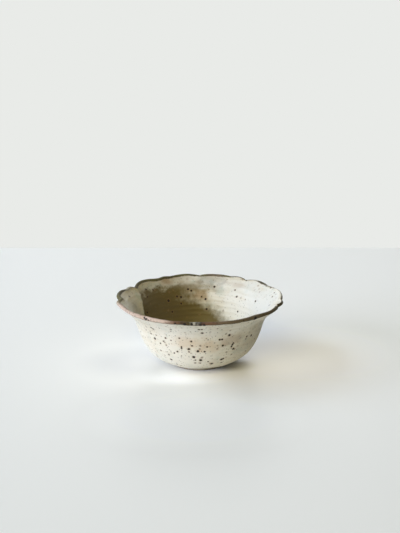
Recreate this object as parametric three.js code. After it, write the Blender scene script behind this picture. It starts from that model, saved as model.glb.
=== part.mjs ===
// A thrown stoneware bowl whose flared lip is pinched into fifteen uneven lobes.
// Millimetres, +Z up. The origin is on the table, under the middle of the bowl.
// Each piece is lofted from rings of points, one ring for each point of its profile.
// Neighbouring pieces share the rings where they meet, so they fit face to face.
import * as THREE from "three";

// Overall sizes
const rimRadius = 77.6; // to the middle of a lobe, where the lip isn't pushed in
const bowlHeight = 63.4;

// Outside of the wall, from the foot up
const heelRadius = 37.4; // where the underside turns up
const heelHeight = 6.4;
const hipRadius = 47;
const hipHeight = 13.2;
const bellyRadius = 53;
const bellyHeight = 22.4;
const waistRadius = 57;
const waistHeight = 32.6;
const shoulderRadius = 61.2; // where the lip starts to flare
const shoulderDrop = 18.2; // below the top of the rim
const lipLength = 12; // the nearly straight stretch of the lip
const lipLean = 38; // degrees between that stretch and the level

// Foot
const footRadius = 27.2; // at the table
const footHeight = 2.8;
const footFlare = 0.8; // how much wider the ring is at its top than at the table
const footWidth = 6.2;
const footBevel = 0.7;
const recessDepth = 4.6; // from the table to the underside of the floor

// Wall and coats
const wallThickness = 4; // clay and both coats, halfway up
const rimThickness = 3;
const floorThickness = 5.2;
const floorDish = 0.6; // how far the middle of the floor lies below its edge
const wellRadius = 15; // the shallow dish in the middle of the floor
const heelRise = 0.8; // how far the inside has risen from the floor above the glaze line
const innerCoat = 0.55;
const outerCoat = 0.55;
const bareHeel = 2.2; // clay left bare between the foot and the glaze line
const bareRim = 1.8; // how far the iron-brown edge reaches down the wall

// A usual pinch of the lip
const pinchDepth = 2; // how far the lip is pushed in
const pinchDrop = 1; // how far it is pushed down
const pinchReach = 20; // how far the crease runs down the wall

// The pinches, anticlockwise from +X. at is the angle in degrees at the rim. depth, drop
// and reach say how strong each one is beside a usual pinch. lean is the angle in
// degrees by which the crease slants away on the way down.
const pinches = [
  { at: 28, depth: 0.7, drop: 0.8, reach: 0.7, lean: 0 },
  { at: 52, depth: 1, drop: 1.8, reach: 0.75, lean: 2 },
  { at: 65, depth: 0.8, drop: 0.9, reach: 0.85, lean: 0 },
  { at: 90, depth: 1, drop: 1.2, reach: 1, lean: -2 },
  { at: 114, depth: 0.9, drop: 0.8, reach: 0.9, lean: 2 },
  { at: 123, depth: 0.9, drop: 1, reach: 0.9, lean: 3 },
  { at: 150.5, depth: 1.9, drop: 3.2, reach: 1.7, lean: 16 },
  { at: 160, depth: 0.9, drop: 1, reach: 1.2, lean: 14 },
  { at: 186, depth: 1.7, drop: 1, reach: 1, lean: 4 },
  { at: 207, depth: 0.6, drop: 0.6, reach: 0.75, lean: 0 },
  { at: 231, depth: 0.9, drop: 1, reach: 0.9, lean: 0 },
  { at: 266, depth: 1, drop: 0.8, reach: 0.8, lean: 0 },
  { at: 312, depth: 1.1, drop: 0.7, reach: 0.7, lean: 0 },
  { at: 339, depth: 1.3, drop: 0.6, reach: 0.65, lean: 0 },
  { at: 354, depth: 1, drop: 0.8, reach: 0.7, lean: 0 },
];
const fullLobe = 18; // degrees: a narrower lobe doesn't come all the way out
const pinchFade = 1.3; // above 1, a crease fades faster than it would along a smooth step

// Fineness of the facets
const lobeSegments = 6;
const wallStations = 9;
const lipStations = 5;
const curveSteps = 800; // for measuring along the curve of the wall

// The wall's profile ends on the outer side of the rounded lip, whose top is at the
// bowl's full height and whose outermost point is at the rim's full radius
const lipTilt = THREE.MathUtils.degToRad(lipLean);
const lipRadius = rimThickness / 2;
const lipCentre = new THREE.Vector2(rimRadius - lipRadius, bowlHeight - lipRadius);
const lipAlong = new THREE.Vector2(Math.cos(lipTilt), Math.sin(lipTilt));
const lipOutward = new THREE.Vector2(Math.sin(lipTilt), -Math.cos(lipTilt));
const lipEnd = lipCentre.clone().addScaledVector(lipOutward, lipRadius);
const lipStart = lipEnd.clone().addScaledVector(lipAlong, -lipLength);

const footTopRadius = footRadius + footFlare;
const footInside = footRadius - footWidth;

// A smooth curve through the outside of the glazed wall, from the foot to the lip
const outsideCurve = new THREE.SplineCurve([
  new THREE.Vector2(footTopRadius, footHeight),
  new THREE.Vector2(heelRadius, heelHeight),
  new THREE.Vector2(hipRadius, hipHeight),
  new THREE.Vector2(bellyRadius, bellyHeight),
  new THREE.Vector2(waistRadius, waistHeight),
  new THREE.Vector2(shoulderRadius, bowlHeight - shoulderDrop),
  lipStart,
  lipEnd,
]);
outsideCurve.arcLengthDivisions = curveSteps;
const wallLength = outsideCurve.getLength();
const glazeLine = bareHeel / wallLength;
const rimLine = 1 - bareRim / wallLength;

// The profile point at share u of the way up the wall, set in by depth from the outside
function wallPoint(u, depth) {
  const point = outsideCurve.getPointAt(u);
  const along = outsideCurve.getTangentAt(u);
  return new THREE.Vector2(point.x - along.y * depth, point.y + along.x * depth);
}

// The wall is thickest at the glaze line, where its inside runs out into the floor
const floorTop = recessDepth + floorThickness;
const heelThickness =
  (floorTop + heelRise - outsideCurve.getPointAt(glazeLine).y) / outsideCurve.getTangentAt(glazeLine).x;

// Thickness of the glazed wall at share u of the way up it
function thicknessAt(u) {
  const { lerp, smoothstep } = THREE.MathUtils;
  const halfway = 0.5;
  return u < halfway
    ? lerp(heelThickness, wallThickness, smoothstep(u, 0, halfway))
    : lerp(wallThickness, rimThickness, smoothstep(u, halfway, 1));
}

// The directions in which every ring has a point, with what the pinches do there. A lobe
// is an arc between two pinches, with a cusp at each.
const spokes = pinches.flatMap((pinch, i) => {
  const fullTurn = 360;
  const next = pinches[i + 1] ?? { ...pinches[0], at: pinches[0].at + fullTurn };
  const bulge = Math.min(1, (next.at - pinch.at) / fullLobe);
  return Array.from({ length: lobeSegments }, (_, j) => {
    const share = j / lobeSegments;
    const between = (key) => THREE.MathUtils.lerp(pinch[key], next[key], share);
    const held = 1 - bulge * Math.sin(Math.PI * share);
    return {
      at: between("at"),
      push: pinchDepth * between("depth") * held,
      dip: pinchDrop * between("drop") * held,
      reach: pinchReach * between("reach"),
      lean: between("lean"),
    };
  });
});

// Carries a profile point round to a spoke and pinches it
function placed(point, { at, push, dip, reach, lean }) {
  const grip = THREE.MathUtils.smoothstep(point.y, bowlHeight - reach, bowlHeight) ** pinchFade;
  const radius = point.x - push * grip;
  const theta = THREE.MathUtils.degToRad(at + lean * (1 - grip));
  return new THREE.Vector3(radius * Math.cos(theta), radius * Math.sin(theta), point.y - dip * grip);
}

const rings = new Map();

// The ring of points that a profile point makes, kept so that neighbours share it exactly
function ringOf(point) {
  const key = point.x.toFixed(5) + "," + point.y.toFixed(5);
  if (!rings.has(key)) {
    const around = point.x === 0 ? spokes.slice(0, 1) : spokes;
    rings.set(key, { point, points: around.map((spoke) => placed(point, spoke)) });
  }
  return rings.get(key);
}

// Closes a loop of profile points into a solid. The loop runs anticlockwise with the
// radius to the right and the height upwards, and may begin and end on the axis.
function loft(loop) {
  const stations = loop.map(ringOf);
  const positions = [];
  const starts = stations.map(({ points }) => {
    const start = positions.length / 3;
    points.forEach((p) => positions.push(p.x, p.y, p.z));
    return start;
  });
  const index = [];
  stations.forEach((lower, i) => {
    const next = (i + 1) % stations.length;
    const upper = stations[next];
    const corner = (station, start, j) => start + (j % station.points.length);
    const climbs =
      lower.point.y === upper.point.y ? lower.point.x < upper.point.x : lower.point.y < upper.point.y;
    for (let j = 0; j < spokes.length; j++) {
      const a = corner(lower, starts[i], j);
      const b = corner(lower, starts[i], j + 1);
      const c = corner(upper, starts[next], j + 1);
      const d = corner(upper, starts[next], j);
      // Both pieces that share a band split its quads along the same diagonal
      const faces = climbs ? [[a, b, c], [a, c, d]] : [[a, b, d], [b, c, d]];
      faces.filter(([p, q, r]) => p !== q && q !== r && r !== p).forEach((face) => index.push(...face));
    }
  });
  const geometry = new THREE.BufferGeometry();
  geometry.setAttribute("position", new THREE.Float32BufferAttribute(positions, 3));
  geometry.setIndex(index);
  geometry.computeVertexNormals();
  return geometry;
}

function piece(name, loop, material) {
  const mesh = new THREE.Mesh(loft(loop), material);
  mesh.name = name;
  return mesh;
}

const bareClay = new THREE.MeshStandardMaterial({ color: 0x8f7a62, roughness: 0.85 });
const whiteGlaze = new THREE.MeshStandardMaterial({ color: 0xd9d2c2, roughness: 0.38 });
const liningGlaze = new THREE.MeshStandardMaterial({ color: 0xcfc8b4, roughness: 0.34 });
const ironBrown = new THREE.MeshStandardMaterial({ color: 0x54402f, roughness: 0.5 });

// Profile points that several pieces share, each from the glaze line up to the rim line
const wallShares = Array.from({ length: wallStations + 1 }, (_, i) =>
  THREE.MathUtils.lerp(glazeLine, rimLine, i / wallStations),
);
const clayOutside = wallShares.map((u) => wallPoint(u, outerCoat));
const clayInside = wallShares.map((u) => wallPoint(u, thicknessAt(u) - innerCoat));
const glazeOutside = wallShares.map((u) => wallPoint(u, 0));
const glazeInside = wallShares.map((u) => wallPoint(u, thicknessAt(u)));

// The floor of the bowl inside, for the clay and for the glaze on it
const clayFloor = [
  new THREE.Vector2(0, floorTop - innerCoat - floorDish),
  new THREE.Vector2(wellRadius, floorTop - innerCoat),
];
const glazeFloor = clayFloor.map((p) => new THREE.Vector2(p.x, p.y + innerCoat));

// The joint where the foot ring is luted to the wall
const jointOuter = new THREE.Vector2(footTopRadius, footHeight);
const jointInner = new THREE.Vector2(footInside, footHeight);

function footRing() {
  return [
    new THREE.Vector2(footInside + footBevel, 0),
    new THREE.Vector2(footRadius - footBevel, 0),
    new THREE.Vector2(footRadius, footBevel),
    jointOuter,
    jointInner,
    new THREE.Vector2(footInside, footBevel),
  ];
}

// The thrown clay: floor and wall, from the recess under the foot to the rim line
function clayWall() {
  return [
    new THREE.Vector2(0, recessDepth),
    new THREE.Vector2(footInside - footBevel, recessDepth),
    jointInner,
    jointOuter,
    ...clayOutside,
    ...clayInside.toReversed(),
    ...clayFloor.toReversed(),
  ];
}

function outerGlaze() {
  return [...glazeOutside, ...clayOutside.toReversed()];
}

function innerGlaze() {
  return [...clayFloor, ...clayInside, ...glazeInside.toReversed(), ...glazeFloor.toReversed()];
}

// The bare, iron-brown edge that rounds over the top of the wall and both coats
function rimEdge() {
  const nose = Array.from({ length: lipStations + 1 }, (_, i) => {
    const turn = lipTilt + Math.PI * (i / lipStations - 0.5);
    return new THREE.Vector2(Math.cos(turn), Math.sin(turn)).multiplyScalar(lipRadius).add(lipCentre);
  });
  return [clayOutside.at(-1), glazeOutside.at(-1), ...nose, glazeInside.at(-1), clayInside.at(-1)];
}

const bowl = new THREE.Group();
bowl.add(
  piece("foot_ring", footRing(), bareClay),
  piece("clay_wall", clayWall(), bareClay),
  piece("outer_glaze", outerGlaze(), whiteGlaze),
  piece("inner_glaze", innerGlaze(), liningGlaze),
  piece("rim_edge", rimEdge(), ironBrown),
);

// The uneven lobes reach further on some sides, so the bowl is moved to stand centred
const extent = new THREE.Box3().setFromObject(bowl);
const middle = extent.getCenter(new THREE.Vector3());
bowl.position.set(-middle.x, -middle.y, 0);

export default bowl;
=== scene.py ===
# A speckled stoneware bowl with a pinched lip, on a pale table: a fine mesh and a finish
# for each of its five pieces. Metres, +Z up, the origin on the table under the bowl.
import math
from collections import namedtuple

import bpy
import numpy as np
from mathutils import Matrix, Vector, noise
from mathutils.bvhtree import BVHTree


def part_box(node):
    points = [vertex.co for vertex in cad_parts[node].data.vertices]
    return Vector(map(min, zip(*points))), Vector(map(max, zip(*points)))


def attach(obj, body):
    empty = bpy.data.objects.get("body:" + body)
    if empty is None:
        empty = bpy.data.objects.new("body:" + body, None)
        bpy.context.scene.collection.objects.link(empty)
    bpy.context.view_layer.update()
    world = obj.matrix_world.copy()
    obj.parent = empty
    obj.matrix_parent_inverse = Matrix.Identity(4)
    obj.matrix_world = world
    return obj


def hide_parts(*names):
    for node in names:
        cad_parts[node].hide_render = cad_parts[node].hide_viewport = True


bl_info = {
    "name": "Pinched bowl",
    "version": (1, 0, 0),
    "blender": (4, 5, 0),
    "location": "3D View > Sidebar > Bowl",
    "description": "Makes a speckled stoneware bowl with a pinched lip and the table it stands on",
    "category": "Object",
}

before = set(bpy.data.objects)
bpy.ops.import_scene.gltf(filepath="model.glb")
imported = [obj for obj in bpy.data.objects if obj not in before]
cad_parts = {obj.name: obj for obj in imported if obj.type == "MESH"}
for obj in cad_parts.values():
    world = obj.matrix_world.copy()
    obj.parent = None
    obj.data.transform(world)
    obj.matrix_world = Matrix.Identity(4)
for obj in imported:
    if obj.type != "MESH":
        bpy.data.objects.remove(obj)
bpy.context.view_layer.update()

BODY = "root"
FULL_TURN = 360

# The bowl was moved by this much to stand centred, because its lobes are uneven
foot_low, foot_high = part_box("foot_ring")
FOOT_CENTRE = (foot_low + foot_high) / 2

# One pinch of the lip: its place in degrees from +X, and how strong its depth, drop and
# reach are beside a usual pinch. lean is in degrees, for the slant of its crease.
Pinch = namedtuple("Pinch", "at depth drop reach lean")
PINCHES = [
    Pinch(28, 0.7, 0.8, 0.7, 0),
    Pinch(52, 1, 1.8, 0.75, 2),
    Pinch(65, 0.8, 0.9, 0.85, 0),
    Pinch(90, 1, 1.2, 1, -2),
    Pinch(114, 0.9, 0.8, 0.9, 2),
    Pinch(123, 0.9, 1, 0.9, 3),
    Pinch(150.5, 1.9, 3.2, 1.7, 16),
    Pinch(160, 0.9, 1, 1.2, 14),
    Pinch(186, 1.7, 1, 1, 4),
    Pinch(207, 0.6, 0.6, 0.75, 0),
    Pinch(231, 0.9, 1, 0.9, 0),
    Pinch(266, 1, 0.8, 0.8, 0),
    Pinch(312, 1.1, 0.7, 0.7, 0),
    Pinch(339, 1.3, 0.6, 0.65, 0),
    Pinch(354, 1, 0.8, 0.7, 0),
]
FULL_LOBE = 18  # degrees: a narrower lobe doesn't come all the way out
PINCH_FADE = 1.3  # above 1, a crease fades faster than it would along a smooth step
CUSP_ROUNDING = 0.09  # how blunt the cusp between two lobes is
BEAD_MIDDLE = 0.0022  # from the top of the lip to the middle of its inner beads
BEAD_WIDTH = 0.0018
A_LITTLE_FURTHER = 0.01  # of the wall, to find the slope with which it leaves the floor
FLOOR_FADE = 0.004  # over which the floor's rings begin and end
NUB_HEIGHT = 0.0005  # of the clay left in the middle of the recess
NUB_WIDTH = 0.0012
FOOT_WEAR = 0.00008  # how far the foot's lower edge is worn, more in some places than others
FOOT_WEAR_SIZE = 0.006  # of such a place
EDGE_CROWDING = 1.25  # above 1, the rings stand closer at the lower edge of the glaze
LINE_BEAD_PLACE = 0.6  # above the glaze line, beside the width of the bare heel
LINE_BEAD_NARROWNESS = 4
RIDGE_WANDER = 0.25  # of a throwing ridge's pitch
RIDGE_CREST = 0.3  # above 0, the crests of the ridges are sharper than the hollows
RIDGE_USUAL = 0.6  # of a ridge's full height
RIDGE_CHANGE = 0.5  # how much its height changes from place to place

# Where in the noise each kind of unevenness is looked up, so that no two are alike
LUMP_PLACE = 0
RIPPLE_PLACE = 20
DROP_PLACE = 40
RIDGE_PLACE = 60
LINE_PLACE = 80

# Fineness of the meshes
CURVE_STEPS = 60  # between two points of the wall's curve
LEAST_SPOKES = 10  # in the narrowest lobe
SPOKES_A_DEGREE = 0.8
CROWDING = 0.6  # how much closer the spokes stand at a cusp than in the middle of a lobe
OUTSIDE_STATIONS = 110
INSIDE_STATIONS = 100
HIDDEN_STATIONS = 24
NOSE_STATIONS = 16
BRIM_STATIONS = 3
RECESS_STATIONS = 44
BEVEL_STATIONS = 6
FILLET_STATIONS = 7
FOOT_STATIONS = 9  # up the outside of the foot ring
SEAT_STATIONS = 5  # across its top
BORE_STATIONS = 4  # down the inside of it
HEEL_PARTS = (0.35, 0.5, 0.65, 0.8, 0.9)  # of the way from the foot to the glaze
HEEL_EASING = 0.7  # below 1, the bare heel draws in under the glaze sooner
SHARP_EDGE = math.radians(40)

# The larger iron spots: degrees round from +X, height and width
OUTSIDE_SPOTS = [
    (228, 0.0485, 0.0017), (229.5, 0.0475, 0.0014), (224, 0.041, 0.0013), (227.5, 0.037, 0.0021),
    (240, 0.0405, 0.0016), (237, 0.0365, 0.0013), (233, 0.0335, 0.0014), (231, 0.0255, 0.0014),
    (245, 0.039, 0.0011), (248, 0.052, 0.0015), (253, 0.0425, 0.0015), (254, 0.0335, 0.0016),
    (254, 0.032, 0.0015), (249.5, 0.028, 0.0016), (246, 0.026, 0.0013), (239.5, 0.023, 0.0013),
    (240, 0.0175, 0.0019), (244, 0.012, 0.0016), (263, 0.04, 0.0017), (263.5, 0.0355, 0.0015),
    (260.5, 0.032, 0.0023), (260.5, 0.029, 0.0014), (268.5, 0.03, 0.0021), (274.5, 0.0295, 0.0016),
    (276.5, 0.0345, 0.0015), (264.5, 0.0235, 0.0024), (266, 0.02, 0.0013), (271, 0.02, 0.0023),
    (278.5, 0.018, 0.0013), (282.5, 0.015, 0.0025), (292, 0.019, 0.0023), (293.5, 0.0195, 0.0019),
    (269.5, 0.054, 0.0018), (271.5, 0.0542, 0.0018), (272, 0.0495, 0.0023), (295, 0.0445, 0.0023),
    (287, 0.041, 0.0018), (289, 0.041, 0.0016), (290.5, 0.0345, 0.0019), (300.5, 0.0352, 0.0017),
    (300, 0.0335, 0.0018), (299.5, 0.0318, 0.0017), (302, 0.029, 0.0021), (315, 0.0385, 0.0016),
    (321.5, 0.0375, 0.002),
]
INSIDE_SPOTS = [
    (142, 0.057, 0.0021), (135, 0.055, 0.0017), (146, 0.0515, 0.0018), (123, 0.0435, 0.0026),
    (113, 0.046, 0.002), (109, 0.045, 0.0021), (109.5, 0.039, 0.002), (101, 0.0515, 0.0021),
    (98, 0.05, 0.002), (121, 0.0325, 0.0019), (156, 0.0395, 0.0022), (168, 0.058, 0.0021),
    (88, 0.0445, 0.0016), (84, 0.0425, 0.0021), (76.5, 0.0535, 0.0021), (82.5, 0.033, 0.0021),
    (51.5, 0.048, 0.0017), (56, 0.053, 0.0015), (26, 0.0495, 0.0018), (9, 0.0588, 0.0015),
    (13, 0.061, 0.0014), (357, 0.055, 0.0014), (46, 0.035, 0.0014),
]
# Black blots where the iron ran together on the lip, and dots on the inner side of it
RIM_SPOTS = [
    (231.4, 0.0617, 0.0019), (232.6, 0.0607, 0.0018), (233.8, 0.0613, 0.0017), (235.4, 0.0606, 0.0017),
    (254.5, 0.0618, 0.0018), (260.5, 0.0612, 0.0026), (265, 0.0614, 0.0022), (270.5, 0.0606, 0.0022),
    (273, 0.0606, 0.0024), (309, 0.0606, 0.0036),
]
RIM_DOTS = [(54.5, 0.0607, 0.002), (50.5, 0.0617, 0.0017), (22.5, 0.0624, 0.0017)]

# Soft-edged patches of another tone on the glaze: the tone, how strongly it shows, degrees
# round from +X, height, and half of the patch's width and height. Some are painted light and
# painted shade, as marked.
OUTSIDE_PATCHES = [
    # Painted light: a paler front, where the wall turns away from the lamps
    ("glaze_pale", 0.8, 262, 0.027, 0.05, 0.034),
    ("blush", 0.45, 264, 0.0385, 0.023, 0.011),
    ("blush", 0.4, 281, 0.034, 0.016, 0.008),
    ("blush_pink", 0.5, 297, 0.0385, 0.015, 0.009),
    ("blush", 0.4, 70, 0.03, 0.026, 0.011),
    ("blush_pink", 0.4, 150, 0.04, 0.022, 0.012),
    # Painted shade: a darker, olive right side, away from the lamps
    ("stain", 0.17, 330, 0.038, 0.038, 0.034),
    # Painted light: paler glaze just under the lip, where the lip shades the wall
    ("glaze_pale", 0.7, 253, 0.054, 0.045, 0.013),
    # Painted shade: warmer, dimmer glaze on the side that the lamps light most
    ("glaze_warm", 0.4, 211, 0.043, 0.036, 0.03),
]
# Inside, the stain patches are partly a real stain and partly painted shade, carrying the dark of the
# lining's shadowed side towards the lip
INSIDE_PATCHES = [
    # Partly painted light: a whiter lining where the lamps light the right of the inside
    ("glaze_white", 0.85, 14, 0.045, 0.058, 0.042),
    ("glaze_pale", 0.8, 50, 0.034, 0.03, 0.018),
    ("speck_grey", 0.3, 80, 0.0583, 0.018, 0.0055),
    ("stain", 0.4, 194, 0.052, 0.005, 0.004),
    # Partly painted shade: a pink-grey band where a shadow line falls under the lip's flare
    ("blush_pink", 0.35, 57, 0.0572, 0.014, 0.0035),
    ("blush", 0.3, 100, 0.052, 0.02, 0.01),
    ("iron_halo", 0.6, 90, 0.0465, 0.015, 0.009),
    ("iron_halo", 0.6, 119, 0.0588, 0.013, 0.0045),
    ("stain", 0.32, 176, 0.0525, 0.007, 0.0065),
    ("stain", 0.35, 147, 0.0555, 0.008, 0.006),
    # Painted light: a whiter flare of the left lobe, lightened where the lamps don't reach it
    ("glaze_white", 0.9, 191, 0.057, 0.026, 0.012),
    ("stain", 0.42, 96, 0.0525, 0.026, 0.0065),
    ("stain", 0.25, 80, 0.0525, 0.02, 0.006),
    ("stain", 0.25, 114, 0.0535, 0.02, 0.005),
]

# Where the iron edge comes further down than usual, or less far: centre, reach and how much
BROADER_OUTSIDE = [((-0.05, -0.06, 0.062), (0.04, 0.05, 0.04), 0.0016)]
BROADER_INSIDE = [
    ((-0.04, 0.065, 0.062), (0.035, 0.03, 0.03), 0.0012),
    ((0.045, 0.06, 0.062), (0.03, 0.03, 0.03), -0.0013),
    ((0.08, 0.005, 0.062), (0.035, 0.06, 0.03), -0.003),
    ((0.06, -0.045, 0.062), (0.04, 0.04, 0.03), -0.0018),
    ((0.016, 0.075, 0.062), (0.022, 0.02, 0.03), 0.0009),
]

# Tones of the lip, each by the direction in which it starts to take over. The pale stretch at
# 266.5 degrees is a painted glint; those at 90.3 and from 153 to 166 degrees are partly
# painted highlights where the lamps catch the lip.
LIP_TONES = [
    (0, "iron"), (9, "olive"), (22, "olive"), (27, "pale"), (31, "iron"), (40, "iron"),
    (43.5, "pale"), (47, "olive"), (61, "iron"), (68, "olive"), (74, "brown"), (83, "brown"),
    (86.5, "olive"), (90.3, "pale"), (92.3, "iron"), (104, "olive"), (115, "iron"), (130, "olive"),
    (150, "iron"), (153, "pale"), (163, "pale"), (166, "iron"), (190, "olive"), (200, "pink"),
    (246, "pink"), (254, "red"), (263, "iron"), (266.5, "pale"), (269, "black"), (275, "red"),
    (286, "brown"), (335, "iron"),
]

# From one speck to the next, and how wide the largest are
FINE_SPECKS = (0.0021, 0.0013)
MEDIUM_SPECKS = (0.0044, 0.002)
LARGE_SPECKS = (0.0095, 0.003)
CLAY_GRIT = (0.0015, 0.0009)
CLAY_IRON = (0.0055, 0.0018)
FINE_SHARE = 0.8  # of the places for a speck, how many have one
CLAY_SHARE = 0.7
PATCH_UNEVENNESS = 1.5  # of a patch's edge, as a share of its size
EDGE_UNEVENNESS = 0.6
GLAZE_RELIEF = (0.00012, 0.8)  # depth and strength
CLAY_RELIEF = (0.00025, 0.9)
SPOT_FRAY_SCALE = 1100.0
SPOT_FRAY = 0.0011  # how wide the frayed edge of a larger spot is
THROWN_LINE = 0.0016  # from one fine throwing line to the next
THROWN_LINES = ((1.0, 26.0), (0.3, 14.0))  # fine, broad: how close, how often they change
EDGE_WANDERS = ((120.0, 0.003), (900.0, 0.0012))  # a noise's scale, how far it moves the edge
# Painted shade: the side of the foot away from the lamps, where the contact shadow falls
FOOT_SHADE_PLACE = (0.026, -0.024, 0.004)  # a darker side of the foot
FOOT_SHADE_REACH = (0.02, 0.018, 0.02)

# Vertex attributes: how far a point is from the top of the lip, less than 0 on the inside,
# how far round it is past the deepest crease, in radians, and how far either way
FROM_LIP = "from_lip"
PAST_CREASE = "past_crease"
FROM_CREASE = "from_crease"
FAR = 1  # metres from the lip, where it doesn't matter how far

# The photograph's frame and the middle of the lip in it, in its pixels
PHOTO_HEIGHT = 533
LIP_ROW = 295.4
LENS = 800  # the camera's focal length, in the same pixels
LOOK_BELOW = math.atan((LIP_ROW - PHOTO_HEIGHT / 2) / LENS)
LIP_ACROSS = 0.00037  # metres from the middle of the frame

TABLE_TOP = -0.00005  # a hair under the foot, so that the two faces don't meet
BOWL_MIDDLE = Vector((0, 0, 0.03))

# Patches of painted light and shade on the table, seen by the camera only: they lift the
# bowl's shadows, dim where the lamps light the table most, and keep it darker beside the
# foot. Centre, reach, tone and glow
TABLE_PAINTED_LIGHT_AND_SHADE = [
    ((0.096, 0.023, 0), (0.118, 0.097, 1), "table_painted_light", "glow_painted_light"),
    ((-0.015, -0.038, 0), (0.055, 0.028, 1), "table_painted_light", "glow_painted_light"),
    ((-0.003, -0.125, 0), (0.1, 0.065, 1), "table_painted_light", "glow"),
    ((-0.055, -0.006, 0), (0.07, 0.055, 1), "table_painted_shade", "glow"),
    ((0.03, -0.013, 0), (0.03, 0.02, 1), "table_seen", "glow_painted_foot_shade"),
]

# The soft lamps: name, place, power in watts and colour
LAMP_WIDTH = 3.4
LAMP_HEIGHT = 2.5
LAMPS = [
    ("high window", (-4.12, 0, 2.9), 175, (0.6, 0.76, 1)),
    ("low window", (-4.46, -2.09, 1.04), 227, (0.73, 0.77, 1)),
    ("near wall", (-1.0, -3.73, 3.24), 91, (1, 0.85, 0.38)),
    ("far wall", (0, 4.37, 2.52), 65, (1, 1, 0.98)),
]


def srgb(red, green, blue):
    """A colour as it reads on a screen, from 0 to 255, in the linear numbers that shaders take."""
    shares = (value / 255 for value in (red, green, blue))
    return [s / 12.92 if s <= 0.04045 else ((s + 0.055) / 1.055) ** 2.4 for s in shares]


def length(name, description, default):
    """A size that a user can change."""
    return bpy.props.FloatProperty(
        name=name, description=description, default=default, min=0, precision=4, unit="LENGTH"
    )


def angle(name, description, degrees):
    """A slant that a user can change."""
    return bpy.props.FloatProperty(
        name=name, description=description, default=math.radians(degrees), subtype="ANGLE"
    )


def tone(name, description, *default):
    """A colour that a user can change."""
    return bpy.props.FloatVectorProperty(
        name=name, description=description, default=srgb(*default), min=0, max=1, subtype="COLOR"
    )


def amount(name, description, default):
    """A plain number that a user can change."""
    return bpy.props.FloatProperty(name=name, description=description, default=default, min=0)


class BowlForm(bpy.types.PropertyGroup):
    """Sizes of the thrown wall, its foot and its two coats."""

    rim_radius: length("Rim radius", "From the middle to the middle of a lobe", 0.0776)
    bowl_height: length("Height", "From the table to the top of the lip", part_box("rim_edge")[1].z)
    heel_radius: length("Heel radius", "Where the underside turns up", 0.0374)
    heel_height: length("Heel height", "Where the underside turns up", 0.0064)
    hip_radius: length("Hip radius", "Low on the wall", 0.047)
    hip_height: length("Hip height", "Low on the wall", 0.0132)
    belly_radius: length("Belly radius", "A third of the way up the wall", 0.053)
    belly_height: length("Belly height", "A third of the way up the wall", 0.0224)
    waist_radius: length("Waist radius", "Halfway up the wall", 0.057)
    waist_height: length("Waist height", "Halfway up the wall", 0.0326)
    shoulder_radius: length("Shoulder radius", "Where the lip starts to flare", 0.0612)
    shoulder_drop: length("Shoulder drop", "From the top of the lip to its flare", 0.0182)
    lip_length: length("Lip length", "The nearly straight stretch of the lip", 0.012)
    lip_lean: angle("Lip lean", "Angle between the lip and the level", 38)
    foot_radius: length("Foot radius", "At the table", 0.0272)
    foot_height: length("Foot height", "From the table to the wall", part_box("foot_ring")[1].z)
    foot_flare: length("Foot flare", "How much wider the ring is at its top", 0.0008)
    foot_width: length("Foot width", "Across the ring's clay", 0.0062)
    foot_bevel: length("Foot bevel", "Rounding of the ring's lower edges", 0.0007)
    foot_fillet: length("Foot fillet", "Clay smoothed into the corner under the wall", 0.00035)
    recess_depth: length("Recess depth", "From the table to the underside of the floor", 0.0046)
    recess_fillet: length("Recess fillet", "Rounding inside the foot ring", 0.0012)
    wall_thickness: length("Wall thickness", "Clay and both coats, halfway up", 0.004)
    rim_thickness: length("Lip thickness", "Across the rounded lip", 0.003)
    floor_thickness: length("Floor thickness", "Clay and lining", 0.0052)
    floor_dish: length("Floor dish", "How far the middle of the floor lies below its edge", 0.0006)
    well_radius: length("Well radius", "The shallow dish in the middle of the floor", 0.015)
    heel_rise: length("Heel rise", "How far the inside has risen above the glaze line", 0.0008)
    inner_coat: length("Lining", "Thickness of the glaze inside", 0.00055)
    outer_coat: length("Outer coat", "Thickness of the glaze outside", 0.00055)
    bare_heel: length("Bare heel", "Clay left bare above the foot", 0.0022)
    bare_rim: length("Bare edge", "How far the iron-brown edge reaches down the wall", 0.0018)
    pinch_depth: length("Pinch depth", "How far a usual pinch pushes the lip in", 0.002)
    pinch_drop: length("Pinch drop", "How far a usual pinch pushes the lip down", 0.001)
    pinch_reach: length("Pinch reach", "How far a usual crease runs down the wall", 0.02)


class BowlTouch(bpy.types.PropertyGroup):
    """The unevenness that the wheel, the fingers and the glaze leave."""

    outside_ridge: length("Outside ridge", "Height of the throwing ridges outside", 0.00013)
    outside_pitch: length("Outside pitch", "From one ridge to the next outside", 0.0034)
    inside_ridge: length("Inside ridge", "Height of the throwing ridges inside", 0.00017)
    inside_pitch: length("Inside pitch", "From one ridge to the next inside", 0.0046)
    ridge_fade: length("Ridge fade", "From the lip and the foot to the full ridges", 0.009)
    lump: length("Lumps", "Height of the broad unevenness of the wall", 0.00022)
    lump_size: length("Lump size", "Across a broad lump", 0.022)
    ripple: length("Ripples", "Height of the small unevenness of the glaze", 0.00005)
    ripple_size: length("Ripple size", "Across a small ripple", 0.0045)
    lip_waver: length("Lip waver", "How far the lip wanders between its pinches", 0.0003)
    lip_waver_size: length("Lip waver size", "From one wander to the next", 0.011)
    lip_bead: length("Lip bead", "How far the lip's inner edge swells at a pinch", 0.0007)
    fold: length("Fold", "How far the deepest crease stands in, down the wall", 0.0008)
    fold_width: length("Fold width", "Across half of that crease", 0.0024)
    bare_outside: length("Iron outside", "How far the iron edge comes down outside", 0.0037)
    bare_inside: length("Iron inside", "How far the iron edge comes down inside", 0.0027)
    line_waver: length("Glaze line waver", "How far the lower edge of the glaze wanders", 0.0009)
    line_waver_size: length("Glaze line wave", "From one wander to the next", 0.013)
    line_bead: length("Glaze line bead", "How far the glaze swells at its lower edge", 0.00018)
    turned_ring: length("Turned rings", "Depth of the rings under the foot", 0.00014)
    turned_pitch: length("Turned pitch", "From one turned ring to the next", 0.0016)


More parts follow.
